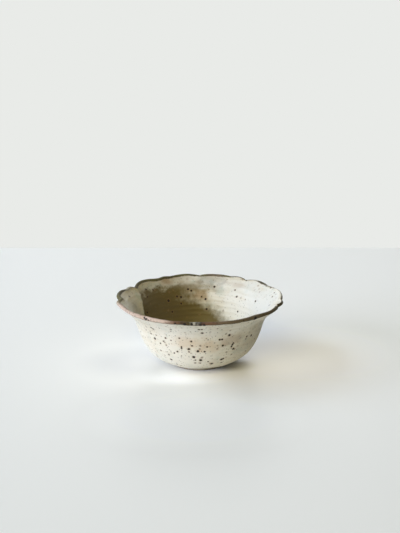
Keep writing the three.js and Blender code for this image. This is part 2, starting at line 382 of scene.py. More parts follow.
class BowlFinish(bpy.types.PropertyGroup):
    """Colours of the clay, the glaze and the iron in it."""

    glaze_pale: tone("Pale glaze", "Most of the glaze", 232, 227, 212)
    glaze_white: tone("White glaze", "Where the lining lies thick", 225, 222, 210)
    glaze_warm: tone("Warm glaze", "Where the glaze lies thinner", 212, 200, 172)
    glaze_cool: tone("Cool glaze", "Greenish grey clouds in the glaze", 194, 200, 184)
    speck_grey: tone("Grey specks", "The finest specks", 112, 101, 84)
    iron_spot: tone("Iron spots", "The larger spots", 15, 9, 3)
    iron_halo: tone("Spot halo", "The glaze stained round a spot", 160, 121, 70)
    blush: tone("Ochre blush", "Warm patches outside", 204, 176, 138)
    blush_pink: tone("Pink blush", "Cooler patches outside", 186, 164, 142)
    # Partly a real stain, partly painted shade: the lining's shadowed deep side, darkened
    stain: tone("Lining stain", "The deep, still side of the lining", 95, 79, 22)
    rim_iron: tone("Lip iron", "Most of the bare lip", 64, 55, 26)
    rim_olive: tone("Lip olive", "Where a skin of glaze stays on the lip", 104, 98, 62)
    rim_pink: tone("Lip pink", "Thin glaze on the lip", 196, 173, 153)
    # Also used for painted glints and highlights on the lip
    rim_pale: tone("Lip pale", "Glaze that stayed on the lip", 190, 184, 166)
    rim_red: tone("Lip red", "Where the lip turned reddish", 108, 76, 54)
    rim_brown: tone("Lip brown", "A soft brown at the back of the lip", 116, 101, 80)
    rim_black: tone("Lip black", "Where the iron ran together", 30, 23, 17)
    bare_clay: tone("Bare clay", "The foot and the recess under it", 150, 138, 112)
    toasted_clay: tone("Toasted clay", "Where the clay is darker", 112, 98, 72)
    washed_clay: tone("Washed clay", "The heel, under a thin wash of glaze", 212, 203, 182)


class StageLook(bpy.types.PropertyGroup):
    """The table, the air behind it and the light."""

    table_tone: tone("Table", "Colour of the table top", 248, 248, 245)
    table_seen: tone("Table as seen", "As the camera sees it", 234, 234, 230)
    # Painted light: the table as the camera sees it where the bowl's shadows fall, lifted towards white
    table_painted_light: tone("Table in shade", "As the camera sees it in the bowl's shade", 252, 252, 249)
    # Painted shade: the table as the camera sees it beside the bowl, dimmed where the lamps light it
    # most
    table_painted_shade: tone("Table in light", "As the camera sees it beside the bowl", 206, 207, 207)
    glow: tone("Table glow", "How much paler it looks to the camera", 91, 91, 90)
    # Painted light: the glow that the camera sees in the bowl's shadows
    glow_painted_light: tone("Glow in shade", "How much paler it looks in the bowl's shade", 112, 114, 119)
    # Painted shade: no glow beside the foot, so that the table stays darker there
    glow_painted_foot_shade: tone("Glow at the foot", "How much paler it looks beside the foot", 0, 0, 0)
    air_tone: tone("Background", "Colour behind the table", 233, 235, 232)
    table_far: length("Table depth", "From the bowl to the far edge of the table", 0.452)
    table_near: length("Table front", "From the bowl to the near edge of the table", 1.8)
    table_side: length("Table side", "From the bowl to either side of the table", 2.2)
    table_thickness: length("Table thickness", "Of the table top", 0.03)
    camera_distance: length("Camera distance", "From the middle of the lip", 0.74)
    camera_height: angle("Camera height", "Angle of the camera above the lip", 17.1)
    lamp_power: amount("Lamp power", "Strength of all the lamps, beside the usual", 1)


def smoothstep(value, low, high):
    """0 below low, 1 above high, and a smooth rise between them."""
    share = np.clip((value - low) / (high - low), 0, 1)
    return share * share * (3 - 2 * share)


def unevenness(points, size, place=LUMP_PLACE):
    """A smooth wander between -1 and 1 at each point, in lumps of about that size."""
    return np.array([noise.noise(Vector(point) / size + Vector((place, 0, 0))) for point in points])


def smooth_curve(points, steps):
    """Points of a curve that passes smoothly through every given point."""
    points = np.array(points)
    padded = np.vstack([points[:1], points, points[-1:]])
    share = np.linspace(0, 1, steps, endpoint=False)[:, None]
    stretches = []
    for before, start, end, after in zip(padded, padded[1:], padded[2:], padded[3:]):
        leaving = (end - before) / 2
        arriving = (after - start) / 2
        cubic = 2 * start - 2 * end + leaving + arriving
        square = -3 * start + 3 * end - 2 * leaving - arriving
        stretches.append(((cubic * share + square) * share + leaving) * share + start)
    return np.vstack([*stretches, points[-1:]])


class Bowl:
    """The bowl's shape, as rings of points that its pieces share. A place on the wall is
    given by the share of the way up it from the foot, and by the depth from its outside. A
    ring comes with how far it is from the top of the lip, less than 0 on the inside."""

    def __init__(self, form, touch):
        self.form = form
        self.touch = touch
        self.set_lip()
        self.set_wall()
        self.set_spokes()
        self.set_floor()

    def set_lip(self):
        form = self.form
        self.nose = form.rim_thickness / 2
        self.nose_centre = np.array([form.rim_radius - self.nose, form.bowl_height - self.nose])
        along = np.array([math.cos(form.lip_lean), math.sin(form.lip_lean)])
        outward = np.array([along[1], -along[0]])
        self.lip_end = self.nose_centre + outward * self.nose
        self.lip_start = self.lip_end - along * form.lip_length

    def set_wall(self):
        form = self.form
        corners = [
            (form.foot_radius + form.foot_flare, form.foot_height),
            (form.heel_radius, form.heel_height),
            (form.hip_radius, form.hip_height),
            (form.belly_radius, form.belly_height),
            (form.waist_radius, form.waist_height),
            (form.shoulder_radius, form.bowl_height - form.shoulder_drop),
            tuple(self.lip_start),
            tuple(self.lip_end),
        ]
        self.curve = smooth_curve(corners, CURVE_STEPS)
        steps = np.linalg.norm(np.diff(self.curve, axis=0), axis=1)
        self.travelled = np.concatenate([[0], np.cumsum(steps)])
        self.wall_length = self.travelled[-1]
        slopes = np.gradient(self.curve, self.travelled, axis=0)
        self.slopes = slopes / np.linalg.norm(slopes, axis=1)[:, None]
        self.glaze_line = form.bare_heel / self.wall_length
        self.rim_line = 1 - form.bare_rim / self.wall_length
        self.floor_top = form.recess_depth + form.floor_thickness
        heel_y = self.wall(self.glaze_line, 0)[1]
        slope_x = self.slope(self.glaze_line)[0]
        self.heel_thickness = (self.floor_top + form.heel_rise - heel_y) / slope_x

    def set_spokes(self):
        """The directions in which every ring has a point, with what the pinches do there.
        A lobe is an arc between two pinches, with a blunted cusp at each."""
        form, touch = self.form, self.touch
        rows = []
        for pinch, following in zip(PINCHES, PINCHES[1:] + PINCHES[:1]):
            width = (following.at - pinch.at) % FULL_TURN
            count = LEAST_SPOKES + round(width * SPOKES_A_DEGREE)
            even = np.arange(count) / count
            share = even - CROWDING * np.sin(math.tau * even) / math.tau
            crest = np.hypot(np.sin(math.pi * share), CUSP_ROUNDING) - CUSP_ROUNDING
            bulge = min(1, width / FULL_LOBE) / (math.hypot(1, CUSP_ROUNDING) - CUSP_ROUNDING)
            held = 1 - bulge * crest
            start, end = np.array(pinch)[:, None], np.array(following)[:, None]
            _, depth, drop, reach, lean = start + (end - start) * share
            rows.append(
                [
                    np.radians(pinch.at + width * share),
                    form.pinch_depth * depth * held,
                    form.pinch_drop * drop * held,
                    form.pinch_reach * reach,
                    np.radians(lean),
                    np.clip(held, 0, 1) * depth,
                ]
            )
        self.at, self.push, self.dip, self.reach, self.lean, self.held = np.hstack(rows)
        past = self.at - math.radians(max(PINCHES, key=lambda pinch: pinch.reach).at)
        self.past_crease = (past + math.pi) % math.tau - math.pi
        across = self.past_crease * form.waist_radius / touch.fold_width
        self.fold = touch.fold * np.exp(-(across**2))
        lip = self.directions(1, 0) * form.rim_radius
        self.push = self.push + touch.lip_waver * unevenness(lip, touch.lip_waver_size)
        self.dip = self.dip + touch.lip_waver * unevenness(lip, touch.lip_waver_size, DROP_PLACE)
        wander = touch.line_waver * unevenness(lip, touch.line_waver_size, LINE_PLACE)
        self.line_wander = wander / self.wall_length

    def set_floor(self):
        """The floor inside, from the middle to where the wall rises: radii and heights."""
        form = self.form
        rise, further = [
            np.array(self.wall(share, self.thickness(share)))
            for share in (self.glaze_line, self.glaze_line + A_LITTLE_FURTHER)
        ]
        middle = self.floor_top - form.floor_dish
        corners = [
            (0, middle),
            (form.well_radius / 2, middle + form.floor_dish / 4),
            (form.well_radius, self.floor_top),
            tuple(rise),
            tuple(2 * further - rise),
        ]
        curve = smooth_curve(corners, CURVE_STEPS)
        self.rise = rise[0]
        self.floor_curve = curve[curve[:, 0] <= self.rise]

    def wall(self, share, depth):
        """Radius and height of a place on the wall."""
        travelled = np.asarray(share) * self.wall_length
        x, y = [np.interp(travelled, self.travelled, self.curve[:, i]) for i in (0, 1)]
        slope_x, slope_y = self.slope(share)
        return x - slope_y * depth, y + slope_x * depth

    def slope(self, share):
        """The direction in which the wall rises at that share of it."""
        travelled = np.asarray(share) * self.wall_length
        return [np.interp(travelled, self.travelled, self.slopes[:, i]) for i in (0, 1)]

    def thickness(self, share):
        """Thickness of the glazed wall: stout at the heel, thinnest at the lip."""
        form = self.form
        low = smoothstep(share, 0, 0.5)
        high = smoothstep(share, 0.5, 1)
        stout = self.heel_thickness + (form.wall_thickness - self.heel_thickness) * low
        return stout + (form.rim_thickness - form.wall_thickness) * high

    def settled(self, share):
        """The share at each spoke, moved with the wandering lower edge of the glaze."""
        fade = self.touch.ridge_fade / self.wall_length
        loose = 1 - smoothstep(share, self.glaze_line, self.glaze_line + fade)
        return share + self.line_wander * loose * min(1, share / self.glaze_line)

    def directions(self, x, y):
        """Points round the unpinched profile, to look up unevenness at."""
        return np.column_stack([x * np.cos(self.at), x * np.sin(self.at), y + 0 * self.at])

    def ring(self, x, y):
        """A profile point carried round to every spoke and pinched there. A point on the
        axis stays one point."""
        on_axis = np.ndim(x) == 0 and x == 0
        y = y + 0 * self.at
        form = self.form
        grip = smoothstep(y, form.bowl_height - self.reach, form.bowl_height) ** PINCH_FADE
        down_wall = smoothstep(y, form.hip_height, form.waist_height) - grip
        radius = x - self.push * grip - self.fold * np.clip(down_wall, 0, 1)
        theta = self.at + self.lean * (1 - grip**2)
        across = FOOT_CENTRE.x + radius * np.cos(theta)
        deep = FOOT_CENTRE.y + radius * np.sin(theta)
        points = np.column_stack([across, deep, y - self.dip * grip])
        return points[:1] if on_axis else points

    def unevenness(self, x, y):
        """How far the surface stands out of its profile, apart from the throwing ridges."""
        touch = self.touch
        points = self.directions(x, y)
        broad = touch.lump * unevenness(points, touch.lump_size)
        return broad + touch.ripple * unevenness(points, touch.ripple_size, RIPPLE_PLACE)

    def ridges(self, x, y, pitch, height):
        """One throwing ridge that winds up the wall in a long spiral, uneven in strength."""
        broad = unevenness(self.directions(x, y), self.touch.lump_size, RIDGE_PLACE)
        turns = y / pitch - self.at / math.tau + RIDGE_WANDER * broad
        crest = np.cos(math.tau * turns) + RIDGE_CREST * np.cos(2 * math.tau * turns)
        return height * crest * (RIDGE_USUAL + RIDGE_CHANGE * broad)

    def outside(self, share):
        """A ring on the finished outside."""
        form, touch = self.form, self.touch
        share = self.settled(share)
        x, y = self.wall(share, 0)
        climbed = (share - self.glaze_line) * self.wall_length
        left = (1 - share) * self.wall_length
        fade = smoothstep(climbed, 0, touch.ridge_fade) * smoothstep(left, 0, touch.ridge_fade)
        stands = self.unevenness(x, y)
        stands = stands + fade * self.ridges(x, y, touch.outside_pitch, touch.outside_ridge)
        edge = np.clip(climbed / form.outer_coat, 0, 1)
        sunk = form.outer_coat * (1 - np.sqrt(edge * (2 - edge)))
        from_bead = climbed / form.bare_heel - LINE_BEAD_PLACE
        bead = touch.line_bead * np.exp(-(from_bead**2) * LINE_BEAD_NARROWNESS)
        x, y = self.wall(share, sunk - stands * edge - bead * edge)
        return self.ring(x, y), left + self.nose * (math.pi - form.lip_lean)

    def inside(self, share):
        """A ring on the finished lining of the wall."""
        touch = self.touch
        depth = self.thickness(share)
        x, y = self.wall(share, depth)
        left = (1 - share) * self.wall_length
        from_lip = left + self.nose * self.form.lip_lean
        fade = smoothstep(left, 0, touch.ridge_fade)
        stands = self.unevenness(x, y) + self.bead(from_lip)
        stands = stands + fade * self.ridges(x, y, touch.inside_pitch, touch.inside_ridge)
        x, y = self.wall(share, depth + stands)
        return self.ring(x, y), -from_lip

    def bead(self, from_lip):
        """At a pinch, the lip's inner edge is pushed into a drooping bead."""
        return self.touch.lip_bead * self.held * np.exp(-(((from_lip - BEAD_MIDDLE) / BEAD_WIDTH) ** 2))

    def round_nose(self, turn):
        """A ring on the rounded lip, turned from its outermost point by that angle."""
        away = np.array([math.cos(turn), math.sin(turn)])
        x, y = self.nose_centre + away * self.nose
        from_top = (turn - math.pi / 2) * self.nose
        stands = self.unevenness(x, y) + self.bead(from_top)
        return self.ring(x + away[0] * stands, y + away[1] * stands), -from_top

    def floor(self, radius, sunk=0.0):
        """A ring on the floor inside."""
        y = np.interp(radius, self.floor_curve[:, 0], self.floor_curve[:, 1]) - sunk
        touch = self.touch
        if not sunk:
            turns = radius / touch.inside_pitch + self.at / math.tau
            fade = smoothstep(radius, 0, touch.inside_pitch)
            fade = fade * smoothstep(self.rise - radius, 0, FLOOR_FADE)
            y = y + touch.inside_ridge * fade * np.cos(math.tau * turns)
            y = y + self.unevenness(radius, self.floor_top) * smoothstep(radius, 0, FLOOR_FADE)
        return self.ring(radius, y), -FAR

    def hidden(self, share, depth):
        """A ring of the joint between the clay and a coat."""
        return self.ring(*self.wall(share, depth)), FAR

    def clay_outside(self):
        """The rings where the clay meets the outer coat, from the glaze line up."""
        shares = np.linspace(self.glaze_line, self.rim_line, HIDDEN_STATIONS)
        return [self.hidden(self.settled(share), self.form.outer_coat) for share in shares]

    def clay_inside(self):
        """The rings where the clay meets the lining, from the middle of the floor up."""
        coat = self.form.inner_coat
        radii = np.linspace(0, self.rise, HIDDEN_STATIONS // 2, endpoint=False)
        shares = np.linspace(self.glaze_line, self.rim_line, HIDDEN_STATIONS)
        rings = [self.floor(radius, sunk=coat) for radius in radii]
        return rings + [self.hidden(share, self.thickness(share) - coat) for share in shares]

    def outer_skin(self):
        """The rings of the finished outside, from the glaze line up."""
        even = np.linspace(0, 1, OUTSIDE_STATIONS)
        shares = self.glaze_line + (self.rim_line - self.glaze_line) * even**EDGE_CROWDING
        return [self.outside(share) for share in shares]

    def inner_skin(self):
        """The rings of the finished lining, from the rim line down to the middle."""
        shares = np.linspace(self.rim_line, self.glaze_line, INSIDE_STATIONS)
        radii = np.linspace(self.rise, 0, INSIDE_STATIONS // 3)[1:]
        return [self.inside(share) for share in shares] + [self.floor(radius) for radius in radii]


def corner_arc(centre, radius, start, end, steps):
    """Points round a rounded corner, from one angle in degrees to another."""
    turns = np.radians(np.linspace(start, end, steps))
    return [(centre[0] + radius * math.cos(t), centre[1] + radius * math.sin(t)) for t in turns]


def loft(name, rings, past_crease):
    """A closed mesh through rings that run anticlockwise round its profile. A ring of one
    point lies on the axis, where the profile ends."""
    points = np.vstack([ring for ring, _ in rings])
    from_lip = np.concatenate([np.broadcast_to(distance, len(ring)) for ring, distance in rings])
    past = np.concatenate([past_crease[: len(ring)] for ring, _ in rings])
    sizes = [len(ring) for ring, _ in rings]
    starts = np.cumsum([0, *sizes]).tolist()
    faces = []
    for i, size in enumerate(sizes):
        following = (i + 1) % len(sizes)
        low, high, high_size = starts[i], starts[following], sizes[following]
        if size == high_size == 1:
            continue
        for j in range(max(sizes)):
            lower = [low + j % size, low + (j + 1) % size]
            upper = [high + (j + 1) % high_size, high + j % high_size]
            faces.append(list(dict.fromkeys(lower + upper)))
    mesh = bpy.data.meshes.new(name)
    mesh.from_pydata(points.tolist(), [], faces)
    for label, values in ((FROM_LIP, from_lip), (PAST_CREASE, past), (FROM_CREASE, np.abs(past))):
        stored = mesh.attributes.new(label, "FLOAT", "POINT")
        stored.data.foreach_set("value", values.astype(np.float32))
    mesh.shade_smooth()
    mesh.set_sharp_from_angle(angle=SHARP_EDGE)
    return mesh


def place(mesh, material, node, slot):
    """Adds a piece of the bowl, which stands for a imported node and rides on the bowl."""
    mesh.materials.append(material)
    piece = bpy.data.objects.new(mesh.name, mesh)
    bpy.context.scene.collection.objects.link(piece)
    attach(piece, BODY)
    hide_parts(node)


# The inputs of node groups that are vectors, and not numbers
VECTOR_SOCKETS = ("Position", "Centre", "Reach")

# Sockets of a colour mix
MIX_SHARE = 0
MIX_UNDER = 6
MIX_OVER = 7
MIX_RESULT = 2


class Value:
    """What a node puts out. Arithmetic with it, and the calls below, add nodes to its tree.
    They take a number, a colour or another value."""

    def __init__(self, socket):
        self.socket = socket

    def put(self, kind, values, output=0, **settings):
        """Adds a node to the same tree and gives one of its outputs."""
        return Value(add(self.socket.id_data, kind, values, **settings).outputs[output])

    def math(self, operation, other=0.0):
        return self.put("ShaderNodeMath", {0: self, 1: other}, operation=operation)

    def __add__(self, other):
        return self.math("ADD", other)

    def __sub__(self, other):
        return self.math("SUBTRACT", other)

    def __mul__(self, other):
        return self.math("MULTIPLY", other)

    def __truediv__(self, other):
        return self.math("DIVIDE", other)

    def __rtruediv__(self, other):
        return self.put("ShaderNodeMath", {0: other, 1: self}, operation="DIVIDE")

    def most(self, other):
        return self.math("MAXIMUM", other)

    def vector(self, operation, other=(0, 0, 0)):
        output = "Value" if operation in ("DISTANCE", "LENGTH") else "Vector"
        return self.put("ShaderNodeVectorMath", {0: self, 1: other}, output, operation=operation)

    def part(self, axis):
        """One of a place's three numbers."""
        return self.put("ShaderNodeSeparateXYZ", {0: self}, axis)

    def stored(self, attribute):
        """What the mesh stores at this place."""
        return self.put("ShaderNodeAttribute", {}, "Fac", attribute_name=attribute)

    def noise(self, scale, detail=2.0, roughness=0.5, output="Fac"):
        sockets = {"Vector": self, "Scale": scale, "Detail": detail, "Roughness": roughness}
        return self.put("ShaderNodeTexNoise", sockets, output)

    def frayed(self, scale, width):
        """This place, moved to and fro by up to half that width, so that what is drawn frays."""
        shift = self.noise(scale, output="Color").vector("SUBTRACT", (0.5, 0.5, 0.5))
        shift = self.put("ShaderNodeVectorMath", {0: shift, "Scale": width}, operation="SCALE")
        return self.vector("ADD", shift)

    def stretch(self, low, high, to_low=0.0, to_high=1.0):
        """Carries the value smoothly from one range to another, and holds it at the ends."""
        sockets = {"Value": self, "From Min": low, "From Max": high, "To Min": to_low, "To Max": to_high}
        return self.put("ShaderNodeMapRange", sockets, interpolation_type="SMOOTHSTEP")

    def fade(self, low, high):
        """1 below low, 0 above high, and a smooth fall between them."""
        return self.stretch(low, high, 1.0, 0.0)

    def blend(self, under, over):
        """One colour laid over another by this share."""
        sockets = {MIX_SHARE: self, MIX_UNDER: under, MIX_OVER: over}
        return self.put("ShaderNodeMix", sockets, MIX_RESULT, data_type="RGBA")


def fill(node, values):
    """Gives each socket a number, a colour, or a value, which is then linked."""
    for key, value in values.items():
        socket = node.inputs[key]
        if isinstance(value, Value):
            node.id_data.links.new(value.socket, socket)
        elif socket.type == "RGBA" and len(value) == 3:
            socket.default_value = (*value, 1)
        else:
            socket.default_value = value


def add(tree, kind, values=None, **settings):
    """Adds a node with its settings, and fills its sockets."""
    made = tree.nodes.new(kind)
    for name, value in settings.items():
        setattr(made, name, value)
    fill(made, values or {})
    return made


def effect(name, inputs, outputs):
    """Makes a node group of a function of values. The group is built once, and each call of
    the function places it in a material with that material's own values."""

    def wrap(build):
        def placed(*values):
            group = bpy.data.node_groups.get(name) or new_group(name, inputs, outputs, build)
            tree = values[0].socket.id_data
            made = add(tree, "ShaderNodeGroup", dict(zip(inputs, values)), node_tree=group)
            found = [Value(socket) for socket in made.outputs]
            return found if len(found) > 1 else found[0]

        return placed

    return wrap


def new_group(name, inputs, outputs, build):
    """A node group with named sockets, wired by the function that it is built from."""
    tree = bpy.data.node_groups.new(name, "ShaderNodeTree")
    for label in inputs:
        kind = "NodeSocketVector" if label in VECTOR_SOCKETS else "NodeSocketFloat"
        tree.interface.new_socket(name=label, in_out="INPUT", socket_type=kind)
    for label in outputs:
        tree.interface.new_socket(name=label, in_out="OUTPUT", socket_type="NodeSocketFloat")
    given = add(tree, "NodeGroupInput").outputs
    made = build(*[Value(given[label]) for label in inputs])
    fill(add(tree, "NodeGroupOutput"), dict(zip(outputs, made)))
    return tree


@effect("Iron specks", ["Position", "Spacing", "Width", "Share"], ["Specks", "Halo"])
def iron_specks(position, spacing, width, share):
    """Iron specks strewn through the glaze or the clay. Spacing is about the distance from
    one to the next, Width how wide the largest are, and Share how many of them show."""
    frayed = position.frayed(0.9 / width, width)
    sockets = {"Vector": frayed, "Scale": 1.0 / spacing, "Randomness": 0.9}
    cells = add(position.socket.id_data, "ShaderNodeTexVoronoi", sockets).outputs
    chance = add(position.socket.id_data, "ShaderNodeSeparateColor", {0: Value(cells["Color"])}).outputs
    size = width * Value(chance["Green"]).stretch(0.0, 1.0, 0.22, 0.5)
    away = Value(cells["Distance"]) * spacing / size
    shown = Value(chance["Red"]).math("LESS_THAN", share)
    return away.fade(0.75, 1.1) * shown, away.fade(0.9, 2.1) * shown


@effect("Iron spot", ["Position", "Centre", "Width"], ["Spot", "Halo"])
def iron_spot(position, centre, width):
    """One larger iron spot at a chosen place, with the stained glaze round it."""
    away = position.vector("DISTANCE", centre) / width
    return away.fade(0.46, 0.6), away.fade(0.5, 1.1)


@effect("Soft patch", ["Position", "Centre", "Reach", "Unevenness"], ["Patch"])
def soft_patch(position, centre, reach, unevenness):
    """A patch with soft, uneven edges round a chosen place."""
    away = position.vector("SUBTRACT", centre).vector("DIVIDE", reach).vector("LENGTH")
    uneven = (position.noise(110.0, detail=3.0) - 0.5) * unevenness
    return [(away + uneven).fade(0.25, 1.0)]


@effect("Throwing lines", ["Position", "Spacing"], ["Lines"])
def throwing_lines(position, spacing):
    """Level lines that the fingers and the wheel leave, fine ones over broad ones, from 0 to 1."""
    level = position.part("Z") / spacing
    drawn = []
    for coarseness, run in THROWN_LINES:
        sockets = {"X": position.part("X") * run, "Y": position.part("Y") * run, "Z": level * coarseness}
        drawn.append(level.put("ShaderNodeCombineXYZ", sockets).noise(1.0, roughness=0.6))
    return [(drawn[0] + drawn[1]) * 0.5]


@effect("Edge break", ["Position", "From lip", "Outside", "Inside"], ["Bare", "Fringe", "Line"])
def edge_break(position, from_lip, outside, inside):
    """Where the glaze breaks to iron brown over the lip. Outside and Inside are how far that
    comes down on either side, and Line is the thin dark line where it ends."""
    past = (from_lip - outside).most((from_lip + inside) * -1.0)
    for scale, wander in EDGE_WANDERS:
        past = past + (position.noise(scale) - 0.5) * wander
    line = past.stretch(-0.001, -0.0004) * past.fade(-0.0002, 0.0004)
    return past.fade(-0.0005, 0.0002), past.fade(-0.0004, 0.0012), line


def new_material(name):
    """A material, its Principled shader, and the place on the object that its nodes start from."""
    material = bpy.data.materials.new(name)
    material.use_nodes = True
    places = add(material.node_tree, "ShaderNodeTexCoord")
    return material, material.node_tree.nodes["Principled BSDF"], Value(places.outputs["Object"])


def strongest(masks):
    """The strongest of several masks."""
    found, *others = masks
    for mask in others:
        found = found.most(mask)
    return found


def place_spots(position, spots):
    """The spots and halos of a list of larger spots, as two masks."""
    position = position.frayed(SPOT_FRAY_SCALE, SPOT_FRAY)
    made = [iron_spot(position, centre, width) for centre, width in spots]
    return [strongest(masks) for masks in zip(*made)]


# What makes one glazed surface differ from another. peppered is how many of the middling
# specks show and how strongly, fine how strong the finest are, and strewn how many of the
# larger spots fall as they will on the far side, between the two depths of facing. The last
# field says whether the dark patch of the lining is on it: partly a stain, partly painted shade.
GlazeLook = namedtuple("GlazeLook", "peppered fine spots patches strewn facing stained")


def lay_stain_and_shade(position, colour, stain):
    """The dark, olive-brown patch of the lining: partly a stain, partly painted shade where the
    deep side of the lining lies in shadow. It ends in a sharp edge along the deepest crease,
    and fades with a mottled edge towards the lip, round the wall and on the floor."""
    # Here the stain is the dark patch, partly painted shade
    slant_height = 0.0415  # below it, the stain reaches much further round the wall
    strong, thin = 0.97, 0.2
    past = position.stored(PAST_CREASE)
    height = position.part("Z")
    mottle = position.noise(130.0, detail=4.0, roughness=0.6) - 0.5
    beside = (past + mottle * height.stretch(0.012, 0.026, 0.45, 0.12)).fade(-0.05, 0.01)
    above = height - slant_height
    slant = (above * 36.0).math("MINIMUM", above * 8.0)
    near = (past - slant + mottle * 0.7).stretch(-1.3, -0.68)
    near = near * position.stored(FROM_CREASE).fade(2.5, 2.9)
    radius = position.vector("MULTIPLY", (1, 1, 0)).vector("LENGTH")
    near = near * (radius + mottle * 0.02).stretch(0.012, 0.032)
    below = (height + mottle * 0.017).fade(0.0525, 0.059)
    side = beside * near
    return (side * below * strong).most(side * thin).blend(colour, stain)


def lay_over(colour, coats):
    """Lays tones over a colour, one after another. Each has the mask of where it lies, how
    strongly it shows there, and its tone."""
    for mask, strength, over in coats:
        colour = (mask * strength).blend(colour, over)
    return colour


def glaze_material(name, look):
    """Pale satin glaze with throwing lines, iron specks and spots, patches of tone, some of them painted
    light and painted shade, and the iron edge.
    """
    finish = bpy.context.scene.bowl_finish
    material, shader, position = new_material(name)
    cloud = position.noise(60.0, detail=5.0, roughness=0.65).stretch(0.35, 0.7)
    lines = throwing_lines(position, THROWN_LINE)
    cool = position.noise(95.0, detail=3.0).stretch(0.5, 0.7)
    coats = [
        (cloud, 0.5, finish.glaze_warm),
        (lines.stretch(0.44, 0.62), 0.55, finish.glaze_warm),
        (cool, 0.55, finish.glaze_cool),
    ]
    for key, strength, centre, reach in look.patches:
        patch = soft_patch(position, centre, reach, PATCH_UNEVENNESS)
        coats.append((patch, strength, getattr(finish, key)))
    colour = lay_over(finish.glaze_pale, coats)
    # The dark patch of the lining, partly stain and partly painted shade
    if look.stained:
        colour = lay_stain_and_shade(position, colour, finish.stain)

    fine, _ = iron_specks(position, *FINE_SPECKS, FINE_SHARE)
    medium, medium_halo = iron_specks(position, *MEDIUM_SPECKS, look.peppered[0])
    strewn = iron_specks(position, *LARGE_SPECKS, look.strewn)
    far = position.part("Y").stretch(*look.facing)
    placed = place_spots(position, look.spots)
    spots, halos = [one.most(other * far) for one, other in zip(placed, strewn)]

    bare, fringe, line = bare_edge(position)
    coats = [
        (fine, look.fine, finish.speck_grey),
        (medium_halo, 0.25, finish.iron_halo),
        (medium, look.peppered[1], finish.speck_grey),
        (halos, 0.4, finish.iron_halo),
        (fringe, 0.3, finish.iron_halo),
    ]
    colour = bare.blend(lay_over(colour, coats), rim_colour(position, finish))
    drawn = position.noise(240.0, detail=3.0).stretch(0.38, 0.56, 0.15, 0.85)
    colour = lay_over(colour, [(line, drawn, finish.rim_iron), (spots, 0.96, finish.iron_spot)])

    grain = position.noise(700.0)
    rough = (spots * 0.7).most((bare * 0.68).most(grain.stretch(0.3, 0.7, 0.36, 0.5)))
    shader.inputs["Specular IOR Level"].default_value = 0.28
    relief = lines * 0.5 + grain * 0.25 - bare * 0.6 - spots * 0.5 - fine * 0.2
    finish_surface(shader, colour, rough, relief, GLAZE_RELIEF)
    return material


def finish_surface(shader, colour, rough, relief, size):
    """Gives the shader its colour, its roughness and its relief, of that depth and strength."""
    bump = relief.put("ShaderNodeBump", {"Height": relief, "Distance": size[0], "Strength": size[1]})
    fill(shader, {"Base Color": colour, "Roughness": rough, "Normal": bump})


def bare_edge(position):
    """The edge break of the lip, which runs broader in some stretches than in others."""
    touch = bpy.context.scene.bowl_touch
    down = []
    for usual, broader in ((touch.bare_outside, BROADER_OUTSIDE), (touch.bare_inside, BROADER_INSIDE)):
        for centre, reach, more in broader:
            usual = soft_patch(position, centre, reach, EDGE_UNEVENNESS) * more + usual
        down.append(usual)
    return edge_break(position, position.stored(FROM_LIP), *down)


def rim_colour(position, finish):
    """The mottled iron brown of the lip, whose tone changes from stretch to stretch."""
    waver = 0.03  # of a whole turn, by which the stretches wander
    turn = position.part("Y").math("ARCTAN2", position.part("X")) / math.tau
    share = (turn + position.noise(260.0, detail=3.0) * waver + (1 - waver / 2)).math("FRACT")
    ramp = add(share.socket.id_data, "ShaderNodeValToRGB", {"Fac": share})
    stops = ramp.color_ramp.elements
    stops.remove(stops[0])
    for index, (at, key) in enumerate(LIP_TONES):
        stop = stops[0] if index == 0 else stops.new(at / FULL_TURN)
        stop.position = at / FULL_TURN
        stop.color = (*getattr(finish, "rim_" + key), 1)
    flecks = position.noise(420.0, detail=3.0).stretch(0.54, 0.7)
    return lay_over(Value(ramp.outputs["Color"]), [(flecks, 0.5, finish.rim_black)])


def clay_material(name):
    """Bare fired clay, gritty and toasted, with a thin wash of glaze over the heel and painted shade on
    the shaded side of the foot.
    """
    finish = bpy.context.scene.bowl_finish
    material, shader, position = new_material(name)
    cloud = position.noise(90.0, detail=4.0).stretch(0.35, 0.7)
    radius = position.vector("MULTIPLY", (1, 1, 0)).vector("LENGTH")
    past_foot = radius - bpy.context.scene.bowl_form.foot_radius
    wash = (past_foot + cloud * -0.0006).stretch(-0.0006, 0.0004)
    # The lowest millimetre or so stays bare and darker: partly the unglazed foot, partly painted shade
    # for the dark line where it meets the table
    wash = wash * position.part("Z").stretch(0.0004, 0.0014)
    grit, _ = iron_specks(position, *CLAY_GRIT, CLAY_SHARE)
    iron, _ = iron_specks(position, *CLAY_IRON, CLAY_SHARE)
    coats = [
        (cloud, 0.7, finish.toasted_clay),
        (wash, 0.9, finish.washed_clay),
        # Painted shade on the side of the foot where the contact shadow falls
        (soft_patch(position, FOOT_SHADE_PLACE, FOOT_SHADE_REACH), 0.8, finish.rim_iron),
        (grit, 0.45, finish.glaze_warm),
        (iron, 0.8, finish.iron_spot),
    ]
    grain = position.noise(1400.0, detail=4.0, roughness=0.7)
    rough = grain.stretch(0.3, 0.7, 0.78, 0.95)
    finish_surface(shader, lay_over(finish.bare_clay, coats), rough, grain + grit * 0.7, CLAY_RELIEF)
    return material


